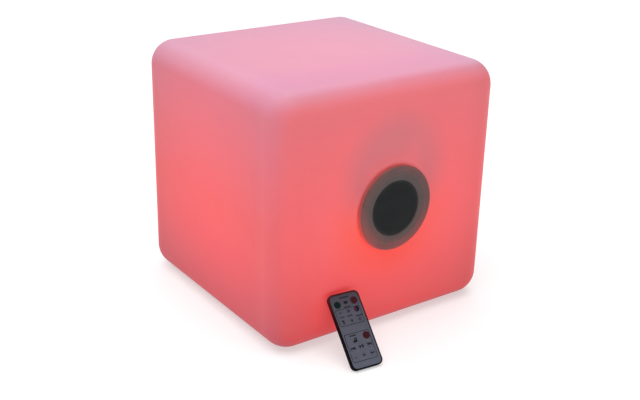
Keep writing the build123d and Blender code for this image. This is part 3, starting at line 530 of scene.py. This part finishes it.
MATERIALS = {
    "shell": shell_material(),
    "bezel": bezel_material(),
    "brass": brushed("brass", (0.72, 0.50, 0.22), 0.28),
    "module_plastic": finish_of("module_plastic", (0.62, 0.61, 0.60), 0.46, 0.05, 22, 0.1, 1200, 0.05, 110, 0.10,
                                wear=(0.46, 0.44, 0.42), wear_at=0.66).mat,
    "gasket": finish_of("gasket", (0.020, 0.020, 0.022), 0.72, 0.2, 60, 0.12, 900, 0.05, spec=0.35).mat,
    "screw_steel": brushed("screw_steel", (0.58, 0.58, 0.60), 0.26, (1, 1, 1)),
    "dome": dome_material(),
    "white_board": board_material("white_board", (0.78, 0.78, 0.76), (0.62, 0.62, 0.60)),
    "led": led_material(),
    "black_plastic": finish_of("black_plastic", (0.016, 0.016, 0.017), 0.40, 0.2, 80, 0.12, 1500, 0.03).mat,
    "green_board": board_material("green_board", (0.012, 0.085, 0.032), (0.025, 0.16, 0.06)),
    "battery_wrap": battery_material(),
    "cable": finish_of("cable", (0.012, 0.012, 0.012), 0.55, 0.25, 120, 0.15, 1400, 0.04).mat,
    "grille": finish_of("grille", (0.013, 0.015, 0.016), 0.46, 0.25, 45, 0.12, 1800, 0.02, metallic=0.50, spec=0.36).mat,
    "grille_cloth": weave("grille_cloth", (0.010, 0.011, 0.012), 0.5),
    "frame_steel": finish_of("frame_steel", (0.018, 0.018, 0.020), 0.38, 0.2, 60, 0.12, 700, 0.04, peel_mm=0.05,
                             metallic=0.2, wear=(0.30, 0.30, 0.31), wear_at=0.70).mat,
    "ferrite": finish_of("ferrite", (0.045, 0.045, 0.050), 0.62, 0.25, 120, 0.15, 1800, 0.05).mat,
    "surround": finish_of("surround", (0.012, 0.012, 0.012), 0.60, 0.2, 90, 0.12, 1400, 0.03).mat,
    "spider_cloth": weave("spider_cloth", (0.55, 0.34, 0.12), 0.45),
    "cone_paper": finish_of("cone_paper", (0.022, 0.022, 0.023), 0.82, 0.35, 260, 0.12, 1500, 0.10).mat,
    "copper": copper_material(),
    "can_plastic": finish_of("can_plastic", (0.030, 0.030, 0.032), 0.50, 0.15, 40, 0.12, 1100, 0.06, peel_mm=0.1).mat,
    "button": finish_of("button", (0.60, 0.60, 0.61), 0.60, 0.06, 60, 0.1, 1400, 0.04).mat,
    "cap_rubber": finish_of("cap_rubber", (0.030, 0.030, 0.032), 0.70, 0.2, 70, 0.1, 1200, 0.05, spec=0.35).mat,
    "remote_plastic": remote_plastic_material(),
    "overlay": overlay_material("overlay", (0.080, 0.083, 0.111), 0.36, 0.30, True),
    "ir_lens": finish_of("ir_lens", (0.020, 0.006, 0.020), 0.12, 0.2, 90, 0.05, 2000, 0.004, coat=0.6).mat,
    "cell_steel": brushed("cell_steel", (0.66, 0.66, 0.67), 0.24),
    "key_grey": overlay_material("key_grey", (0.082, 0.085, 0.114), 0.38, 0.30, True),
    "key_green": overlay_material("key_green", (0.0015, 0.0150, 0.0125), 0.40, 0.07),
    "key_red": overlay_material("key_red", (0.050, 0.0050, 0.0090), 0.40, 0.12),
    "key_colour": overlay_material("key_colour", (0.020, 0.012, 0.028), 0.40, 0.12),
    "print_dark": overlay_material("print_dark", (0.0032, 0.0034, 0.0064), 0.44, 0.10),
    "print_mark": overlay_material("print_mark", (0.0110, 0.0105, 0.0160), 0.44, 0.14),
    "print_line": overlay_material("print_line", (0.0180, 0.0190, 0.0270), 0.44, 0.16),
    "print_green": overlay_material("print_green", (0.0010, 0.0070, 0.0060), 0.44, 0.07),
    "print_red": overlay_material("print_red", (0.028, 0.0035, 0.0060), 0.44, 0.12),
    "print_pink": overlay_material("print_pink", (0.085, 0.0080, 0.040), 0.44, 0.12),
    "print_blue": overlay_material("print_blue", (0.0080, 0.0075, 0.0260), 0.44, 0.12),
}

SLOT_OF = {s["node"]: s["material_slot"] for s in frame["record"]["subparts"]}
for node_name, obj in frame["nodes"].items():
    mat = MATERIALS[SLOT_OF[node_name]]
    if not obj.material_slots:
        obj.data.materials.append(mat)
    for s in obj.material_slots:
        s.material = mat


# ------------------------------------------------------------------ mesh helpers
def add_mesh(name, verts, faces, mat, body, smooth=False):
    me = bpy.data.meshes.new(name)
    me.from_pydata([tuple(v) for v in verts], [], faces)
    me.validate()
    me.update()
    if smooth:
        for p in me.polygons:
            p.use_smooth = True
    me.materials.append(MATERIALS[mat])
    ob = bpy.data.objects.new(name, me)
    scene.collection.objects.link(ob)
    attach(ob, body)
    return ob


# ------------------------------------------------------------------ speaker grille: perforated sheet in a turned rim
def grille_points(r_mm, ang, t):
    return Vector((r_mm * math.cos(ang) * MM, (FRONT_Y + t) * MM, (SPEAKER_Z + r_mm * math.sin(ang)) * MM))


def build_grille():
    pitch, hole, reach = 2.1, 0.70, 30.6
    corner = pitch / math.sqrt(3.0)
    verts, faces, index = [], [], {}

    def vert(x, z):
        key = (round(x, 3), round(z, 3))
        if key not in index:
            index[key] = len(verts)
            rr = math.hypot(x, z) / 32.0
            t = -3.35 - 0.55 * (1 - rr * rr)      # pressed slightly proud in the middle
            verts.append(Vector((x * MM, (FRONT_Y + t) * MM, (SPEAKER_Z + z) * MM)))
        return index[key]

    rows = int(34 / (pitch * math.sqrt(3) / 2)) + 1
    for j in range(-rows, rows + 1):
        for i in range(-20, 21):
            cx = (i + 0.5 * (j % 2)) * pitch
            cz = j * pitch * math.sqrt(3) / 2
            if math.hypot(cx, cz) > reach:
                continue
            out = [vert(cx + corner * math.cos(math.radians(30 + 60 * k)), cz + corner * math.sin(math.radians(30 + 60 * k)))
                   for k in range(6)]
            inn = [vert(cx + hole * math.cos(math.radians(30 + 30 * k)), cz + hole * math.sin(math.radians(30 + 30 * k)))
                   for k in range(12)]
            for k in range(6):
                a, b = out[k], out[(k + 1) % 6]
                p, q, s = inn[2 * k], inn[2 * k + 1], inn[(2 * k + 2) % 12]
                faces += [(a, q, p), (a, b, q), (b, s, q)]
    sheet = add_mesh("grille_sheet", verts, faces, "grille", "root")
    mod = sheet.modifiers.new("thick", "SOLIDIFY")
    mod.thickness = 0.45 * MM
    mod.offset = 0.0
    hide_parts("speaker_grille")
    # rolled rim, a lathed section
    section = [(29.6, -2.95), (29.6, -3.5), (30.0, -3.78), (31.2, -3.80), (31.75, -3.65), (31.95, -3.3), (31.95, -2.8), (31.2, -2.72), (30.2, -2.8)]
    verts, faces, n = [], [], 96
    for k in range(n):
        a = 2 * math.pi * k / n
        verts += [grille_points(r, a, t) for r, t in section]
    m = len(section)
    for k in range(n):
        for s in range(m):
            a, b = k * m + s, k * m + (s + 1) % m
            c, d = ((k + 1) % n) * m + (s + 1) % m, ((k + 1) % n) * m + s
            faces.append((a, b, c, d))
    rim = add_mesh("grille_rim", verts, faces, "grille", "root", smooth=True)
    bevel = rim.modifiers.new("soft", "BEVEL")
    bevel.width = 0.08 * MM
    bevel.segments = 2
    # acoustic cloth close behind the sheet
    verts, faces = [], []
    rings, segs = 10, 72
    verts.append(grille_points(0, 0, -3.00))
    for r in range(1, rings + 1):
        rad = 29.3 * r / rings
        for k in range(segs):
            a = 2 * math.pi * k / segs
            verts.append(grille_points(rad, a, -3.00 + 0.22 * (rad / 29.3) ** 2 + 0.03 * math.sin(7 * a + rad)))
    for k in range(segs):
        faces.append((0, 1 + k, 1 + (k + 1) % segs))
    for r in range(rings - 1):
        for k in range(segs):
            a, b = 1 + r * segs + k, 1 + r * segs + (k + 1) % segs
            faces.append((a, a + segs, b + segs, b))
    cloth = add_mesh("grille_cloth", verts, faces, "grille_cloth", "root", smooth=True)
    thick = cloth.modifiers.new("thick", "SOLIDIFY")
    thick.thickness = 0.15 * MM
    thick.offset = 0.0


build_grille()


# ------------------------------------------------------------------ remote: printed icons in its own plane
LEAN, YAW = math.radians(45.3), math.radians(-5.6)
ACROSS = Vector((math.cos(YAW), math.sin(YAW), 0))
ALONG = Vector((-math.sin(YAW) * math.cos(LEAN), math.cos(YAW) * math.cos(LEAN), math.sin(LEAN)))
OUT = ACROSS.cross(ALONG)
REMOTE = Vector((-76.2, -211.271, -0.331355))


def on_remote(u, v, n):
    return (REMOTE + ACROSS * u + ALONG * v + OUT * n) * MM


def disc(r, u=0.0, v=0.0, n=28):
    return [[(u + r * math.cos(2 * math.pi * k / n), v + r * math.sin(2 * math.pi * k / n)) for k in range(n)]]


def bar(u0, v0, u1, v1):
    return [[(u0, v0), (u1, v0), (u1, v1), (u0, v1)]]


def tri(u, v, s, left=False):
    d = -s if left else s
    pts = [(u - d / 2, v - s * 0.62), (u + d / 2, v), (u - d / 2, v + s * 0.62)]
    return [pts if not left else pts[::-1]]


def ring(r0, r1, a0=0.0, a1=360.0, u=0.0, v=0.0, n=28):
    """A ring or part ring, as quads."""
    out = []
    for k in range(n):
        a, b = math.radians(a0 + (a1 - a0) * k / n), math.radians(a0 + (a1 - a0) * (k + 1) / n)
        out.append([(u + r0 * math.cos(a), v + r0 * math.sin(a)), (u + r1 * math.cos(a), v + r1 * math.sin(a)),
                    (u + r1 * math.cos(b), v + r1 * math.sin(b)), (u + r0 * math.cos(b), v + r0 * math.sin(b))])
    return out


def frame_line(u0, v0, u1, v1, w, rad, n=6):
    """A rounded rectangle drawn as a line of width w, as quads."""
    def loop(grow):
        pts = []
        for cu, cv, a0 in ((u1 - rad, v1 - rad, 0), (u0 + rad, v1 - rad, 90), (u0 + rad, v0 + rad, 180), (u1 - rad, v0 + rad, 270)):
            for k in range(n + 1):
                a = math.radians(a0 + 90 * k / n)
                pts.append((cu + (rad + grow) * math.cos(a), cv + (rad + grow) * math.sin(a)))
        return pts
    inner, outer = loop(-w / 2), loop(w / 2)
    c = len(inner)
    return [[inner[k], outer[k], outer[(k + 1) % c], inner[(k + 1) % c]] for k in range(c)]


def shifted(polys, du, dv, turn=0.0):
    ca, sa = math.cos(turn), math.sin(turn)
    return [[(du + u * ca - v * sa, dv + u * sa + v * ca) for u, v in p] for p in polys]


def printed(name, polys, level, mat, body, thick=0.035):
    """Ink or foil on the remote: closed thin solids on a face that stands level mm above the remote's back."""
    verts, faces = [], []
    for p in polys:
        area = sum(p[i][0] * p[(i + 1) % len(p)][1] - p[(i + 1) % len(p)][0] * p[i][1] for i in range(len(p)))
        if area < 0:
            p = p[::-1]
        b = len(verts)
        c = len(p)
        verts += [on_remote(u, v, level - 0.01) for u, v in p] + [on_remote(u, v, level + thick) for u, v in p]
        faces.append(tuple(range(b + c, b + 2 * c)))
        faces.append(tuple(range(b + c - 1, b - 1, -1)))
        for i in range(c):
            j = (i + 1) % c
            faces.append((b + i, b + j, b + c + j, b + c + i))
    return add_mesh(name, verts, faces, mat, body)


def letters(name, text, u, v, size, level, mat, body):
    """Generic ON and OFF caps, as thin solids."""
    cu = bpy.data.curves.new(name, "FONT")
    cu.body = text
    cu.size = size * MM
    cu.align_x, cu.align_y = "CENTER", "CENTER"
    cu.extrude = 0.02 * MM
    cu.resolution_u = 4
    ob = bpy.data.objects.new(name + "_curve", cu)
    scene.collection.objects.link(ob)
    bpy.context.view_layer.update()
    me = bpy.data.meshes.new_from_object(ob.evaluated_get(bpy.context.evaluated_depsgraph_get()))
    bpy.data.objects.remove(ob)
    m = Matrix((ACROSS, ALONG, OUT)).transposed().to_4x4()
    m.translation = on_remote(u, v, level + 0.01)
    me.transform(m)
    me.materials.clear()
    me.materials.append(MATERIALS[mat])
    out = bpy.data.objects.new(name, me)
    scene.collection.objects.link(out)
    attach(out, body)
    return out


FILM, CAP = 5.85, 6.1      # overlay face and key tops, above the back
KEYS = {
    "key_light_on": (-10.85, 73.3), "key_light_mode": (-0.35, 74.2), "key_light_off": (10.4, 74.6),
    "key_dimmer": (-10.85, 63.9), "key_brighter": (-0.35, 64.2), "key_colour": (10.05, 64.5),
    "key_fade": (-10.85, 53.6), "key_flash": (-0.35, 53.2), "key_timer": (10.05, 52.9),
    "key_source": (-5.25, 31.9), "key_sound_off": (10.05, 34.0),
    "key_previous": (-10.85, 23.3), "key_play": (-0.35, 23.6), "key_next": (10.05, 23.9),
    "key_volume_down": (-10.85, 13.5), "key_mute": (-0.35, 13.9), "key_volume_up": (10.05, 14.0),
}


def icon(name, key, polys, mat="print_dark", thick=0.035, turn=0.0):
    """A printed icon in the middle of a key."""
    u, v = KEYS[key]
    printed(name, shifted(polys, u, v, turn), CAP, mat, key, thick)


# printed frames round the two key groups, and short marker bars over some keys
printed("print_frame_light", frame_line(-16.0, 49.1, 14.4, 67.6, 0.68, 1.8), FILM, "print_line", "handset")
printed("print_frame_sound", frame_line(-16.0, 8.3, 14.4, 39.5, 0.68, 1.8), FILM, "print_line", "handset")
marks = []
for mu, mv, mw, mh in ((-0.2, 80.1, 11.2, 2.0), (-0.4, 69.2, 7.6, 1.7), (-10.4, 59.1, 6.2, 1.5), (-0.8, 58.8, 6.8, 1.75),
                       (10.4, 57.0, 8.4, 1.95), (-5.9, 36.9, 8.0, 1.8)):
    count = int(mw / 1.15)
    for k in range(count):
        u0 = mu - mw / 2 + mw * k / count
        cut = (0.0, 0.22, 0.1, 0.3)[(k * 3 + int(mv)) % 4]
        marks += bar(u0 + 0.08, mv - mh / 2 + (cut if k % 2 else 0.0), u0 + mw / count - 0.2, mv + mh / 2 - (0.0 if k % 2 else cut))
printed("print_marks", marks, FILM, "print_mark", "handset")

# icons, each on its own key
letters("icon_on", "ON", *KEYS["key_light_on"], 3.2, CAP, "print_green", "key_light_on")
letters("icon_off", "OFF", *KEYS["key_light_off"], 3.0, CAP, "print_red", "key_light_off")
icon("icon_light_mode", "key_light_mode", bar(-2.2, -1.1, -0.15, 1.1) + bar(0.15, -1.1, 2.2, 1.1)
     + bar(-0.7, -1.75, 0.7, -1.2) + bar(-0.7, 1.2, 0.7, 1.75))
icon("icon_dimmer", "key_dimmer", ring(0.75, 1.3, n=20) + bar(-2.2, -0.2, -1.5, 0.2) + bar(1.5, -0.2, 2.2, 0.2), "print_line")
rays = []
for k in range(8):
    rays += shifted(bar(1.35, -0.22, 2.2, 0.22), 0, 0, math.radians(45 * k))
icon("icon_brighter", "key_brighter", disc(1.05, n=20) + rays, "print_mark")
for k, mname in enumerate(("print_pink", "print_blue", "print_dark")):
    wedge = [(0.0, 0.0)] + [(2.95 * math.cos(math.radians(120 * k + 110 + a)), 2.95 * math.sin(math.radians(120 * k + 110 + a)))
                            for a in range(0, 121, 10)]
    icon("icon_colour_%d" % (k + 1), "key_colour", [wedge], mname, 0.03)
icon("icon_fade", "key_fade", bar(-1.2, -1.2, -0.1, 2.25) + bar(0.1, -0.3, 1.2, 1.7) + bar(-0.2, -2.3, 1.0, -0.6))
icon("icon_flash", "key_flash", [[(-1.5, -0.2), (0.95, 2.3), (0.45, 0.45)], [(1.5, 0.2), (-0.95, -2.3), (-0.45, -0.45)],
                                 [(-1.5, -0.2), (0.45, 0.45), (1.5, 0.2), (-0.45, -0.45)]])
icon("icon_timer", "key_timer", ring(1.2, 1.85, n=24) + bar(-0.22, 0.0, 0.22, 1.2) + bar(0.22, -0.22, 1.0, 0.22), "print_mark")
icon("icon_source", "key_source", disc(1.35, -1.1, -1.7, 20) + disc(1.35, 1.3, -1.2, 20) + bar(-0.55, -1.7, 0.25, 1.9) + bar(1.75, -1.2, 2.55, 2.0)
     + [[(-0.55, 0.7), (2.55, 1.2), (2.55, 2.35), (-0.55, 1.9)]])
icon("icon_sound_off", "key_sound_off", ring(1.5, 2.05, 120, 420, n=28) + bar(-0.25, 0.5, 0.25, 2.5), "print_red")
icon("icon_previous", "key_previous", bar(-2.75, -1.5, -2.0, 1.5) + tri(-0.75, 0, 2.7, True) + tri(1.4, 0, 2.6, True))
icon("icon_play", "key_play", tri(-1.2, 0, 2.9) + bar(0.35, -1.65, 1.4, 1.65) + bar(1.6, -1.65, 2.65, 1.65))
icon("icon_next", "key_next", tri(-1.4, 0, 2.6) + tri(0.75, 0, 2.7) + bar(2.0, -1.5, 2.75, 1.5))
icon("icon_volume_down", "key_volume_down", bar(-1.6, -0.42, 1.6, 0.42), "print_line")
icon("icon_mute", "key_mute", bar(-1.8, -0.65, -0.9, 0.65) + [[(-0.9, -0.65), (0.4, -1.8), (0.4, 1.8), (-0.9, 0.65)]]
     + shifted(bar(-0.85, -0.2, 0.85, 0.2), 1.45, 0, math.radians(45)) + shifted(bar(-0.85, -0.2, 0.85, 0.2), 1.45, 0, math.radians(-45)), "print_mark")
icon("icon_volume_up", "key_volume_up", bar(-2.4, -0.65, -1.6, 0.65) + [[(-1.6, -0.65), (-0.4, -1.75), (-0.4, 1.75), (-1.6, 0.65)]]
     + bar(0.1, -0.45, 2.4, 0.45) + bar(0.8, -1.3, 1.7, 1.3))

# raised grip ribs on the back of the remote
ribs = []
for k in range(5):
    ribs += bar(-6.0, 1.6 + 1.3 * k, 6.0, 2.1 + 1.3 * k)


def back_ribs():
    verts, faces = [], []
    for p in ribs:
        u0, u1 = p[0][0], p[1][0]
        v0, v1 = p[0][1], p[2][1]
        vm = (v0 + v1) / 2
        b = len(verts)
        for u in (u0, u1):
            verts += [on_remote(u, v0, 0.02), on_remote(u, v0 + 0.1, -0.06), on_remote(u, vm, -0.09),
                      on_remote(u, v1 - 0.1, -0.06), on_remote(u, v1, 0.02)]
        for i in range(4):
            faces.append((b + i, b + i + 1, b + 6 + i, b + 5 + i))
        faces.append((b + 4, b, b + 5, b + 9))
        faces.append((b, b + 4, b + 3, b + 2, b + 1))
        faces.append((b + 5, b + 6, b + 7, b + 8, b + 9))
    return add_mesh("remote_back_ribs", verts, faces, "remote_plastic", "handset")


back_ribs()


# ------------------------------------------------------------------ base module: icons by the button and the inlet
def under(name, polys, x, z, mat, body, thick=0.04):
    """Thin printed solids on the underside, facing down at height z."""
    verts, faces = [], []
    for p in polys:
        area = sum(p[i][0] * p[(i + 1) % len(p)][1] - p[(i + 1) % len(p)][0] * p[i][1] for i in range(len(p)))
        if area < 0:
            p = p[::-1]
        b, c = len(verts), len(p)
        verts += [Vector((x - u, v, z + 0.01)) * MM for u, v in p] + [Vector((x - u, v, z - thick)) * MM for u, v in p]
        faces.append(tuple(range(b + c, b + 2 * c)))
        faces.append(tuple(range(b + c - 1, b - 1, -1)))
        for i in range(c):
            j = (i + 1) % c
            faces.append((b + i, b + j, b + c + j, b + c + i))
    return add_mesh(name, verts, faces, mat, body)


under("icon_power", ring(2.2, 2.8, 120, 420, n=36) + bar(-0.3, 0.8, 0.3, 3.4), -18.0, 10.6, "print_dark", "power_button")
under("icon_inlet", shifted(disc(0.9, n=24) + ring(1.9, 2.4, -50, 230, n=30), 0, -11.5), 18.0, 15.0, "print_dark", "root")


# ------------------------------------------------------------------ floor, light, world
def floor_material():
    m = Mat("floor")
    big = m.noise(1.4, 4.0, 0.6)
    fine = m.noise(240.0, 3.0, 0.6)
    m.set("Base Color", m.mix(big.ramp(0.3, 0.7), (0.515, 0.515, 0.515), (0.53, 0.53, 0.53)))
    x, y, z = m.xyz()
    even = 0.50 + 0.42 * (x * x + y * y).sqrt().smooth(1500.0, 5500.0)      # evenly pale out to its far edge
    m.set("Emission Color", m.rgb(even, even, even)).set("Emission Strength", 1.0)
    m.set("Roughness", (0.62 + 0.1 * fine).clamp()).set("Specular IOR Level", 0.1)
    m.bump(fine, 0.02 * MM, 0.2)
    return m.mat


def add_floor():
    me = bpy.data.meshes.new("floor")
    s = 9.0
    me.from_pydata([(-s, -s, 0), (s, -s, 0), (s, s, 0), (-s, s, 0)], [], [(0, 1, 2, 3)])
    me.materials.append(floor_material())
    ob = bpy.data.objects.new("floor", me)
    scene.collection.objects.link(ob)
    # pale backdrop that sweeps up from the floor all round, far outside; it throws no light or shadow on the object
    profile = [(7.6, 0.002)] + [(7.6 + 1.2 * math.sin(a), 1.2 - 1.198 * math.cos(a))
                                for a in [math.radians(90 * k / 12) for k in range(1, 13)]] + [(8.8, 4.0), (8.8, 8.0)]
    turns, rows = 96, len(profile)
    verts, faces = [], []
    for k in range(turns):
        a = 2 * math.pi * k / turns
        verts += [(r * math.cos(a), r * math.sin(a), z) for r, z in profile]
        j = (k + 1) % turns
        faces += [(k * rows + i, k * rows + i + 1, j * rows + i + 1, j * rows + i) for i in range(rows - 1)]
    back = bpy.data.meshes.new("backdrop")
    back.from_pydata(verts, [], faces)
    back.polygons.foreach_set("use_smooth", [True] * len(back.polygons))
    back.materials.append(me.materials[0])
    ob = bpy.data.objects.new("backdrop", back)
    scene.collection.objects.link(ob)
    ob.visible_diffuse = ob.visible_glossy = ob.visible_shadow = ob.visible_transmission = False


def area(name, place, look, size, power, colour=(1, 1, 1)):
    data = bpy.data.lights.new(name, "AREA")
    data.shape = "RECTANGLE"
    data.size, data.size_y = size
    data.energy = power
    data.color = colour
    ob = bpy.data.objects.new(name, data)
    d = Vector(look) - Vector(place)
    ob.rotation_euler = d.to_track_quat("-Z", "Y").to_euler()
    ob.location = place
    scene.collection.objects.link(ob)


add_floor()
area("top_softbox", (-0.3, 0.2, 2.8), (-0.02, 0.1, 0), (4.2, 4.2), 135.0)
area("front_fill", (-1.9, -2.3, 1.5), (0, 0, 0.15), (1.6, 1.2), 6.0)
world = bpy.data.worlds.new("world")
scene.world = world
world.use_nodes = True
bg = next(n for n in world.node_tree.nodes if n.type == "BACKGROUND")
bg.inputs[0].default_value = (0.96, 0.97, 1.0, 1)
bg.inputs[1].default_value = 0.30
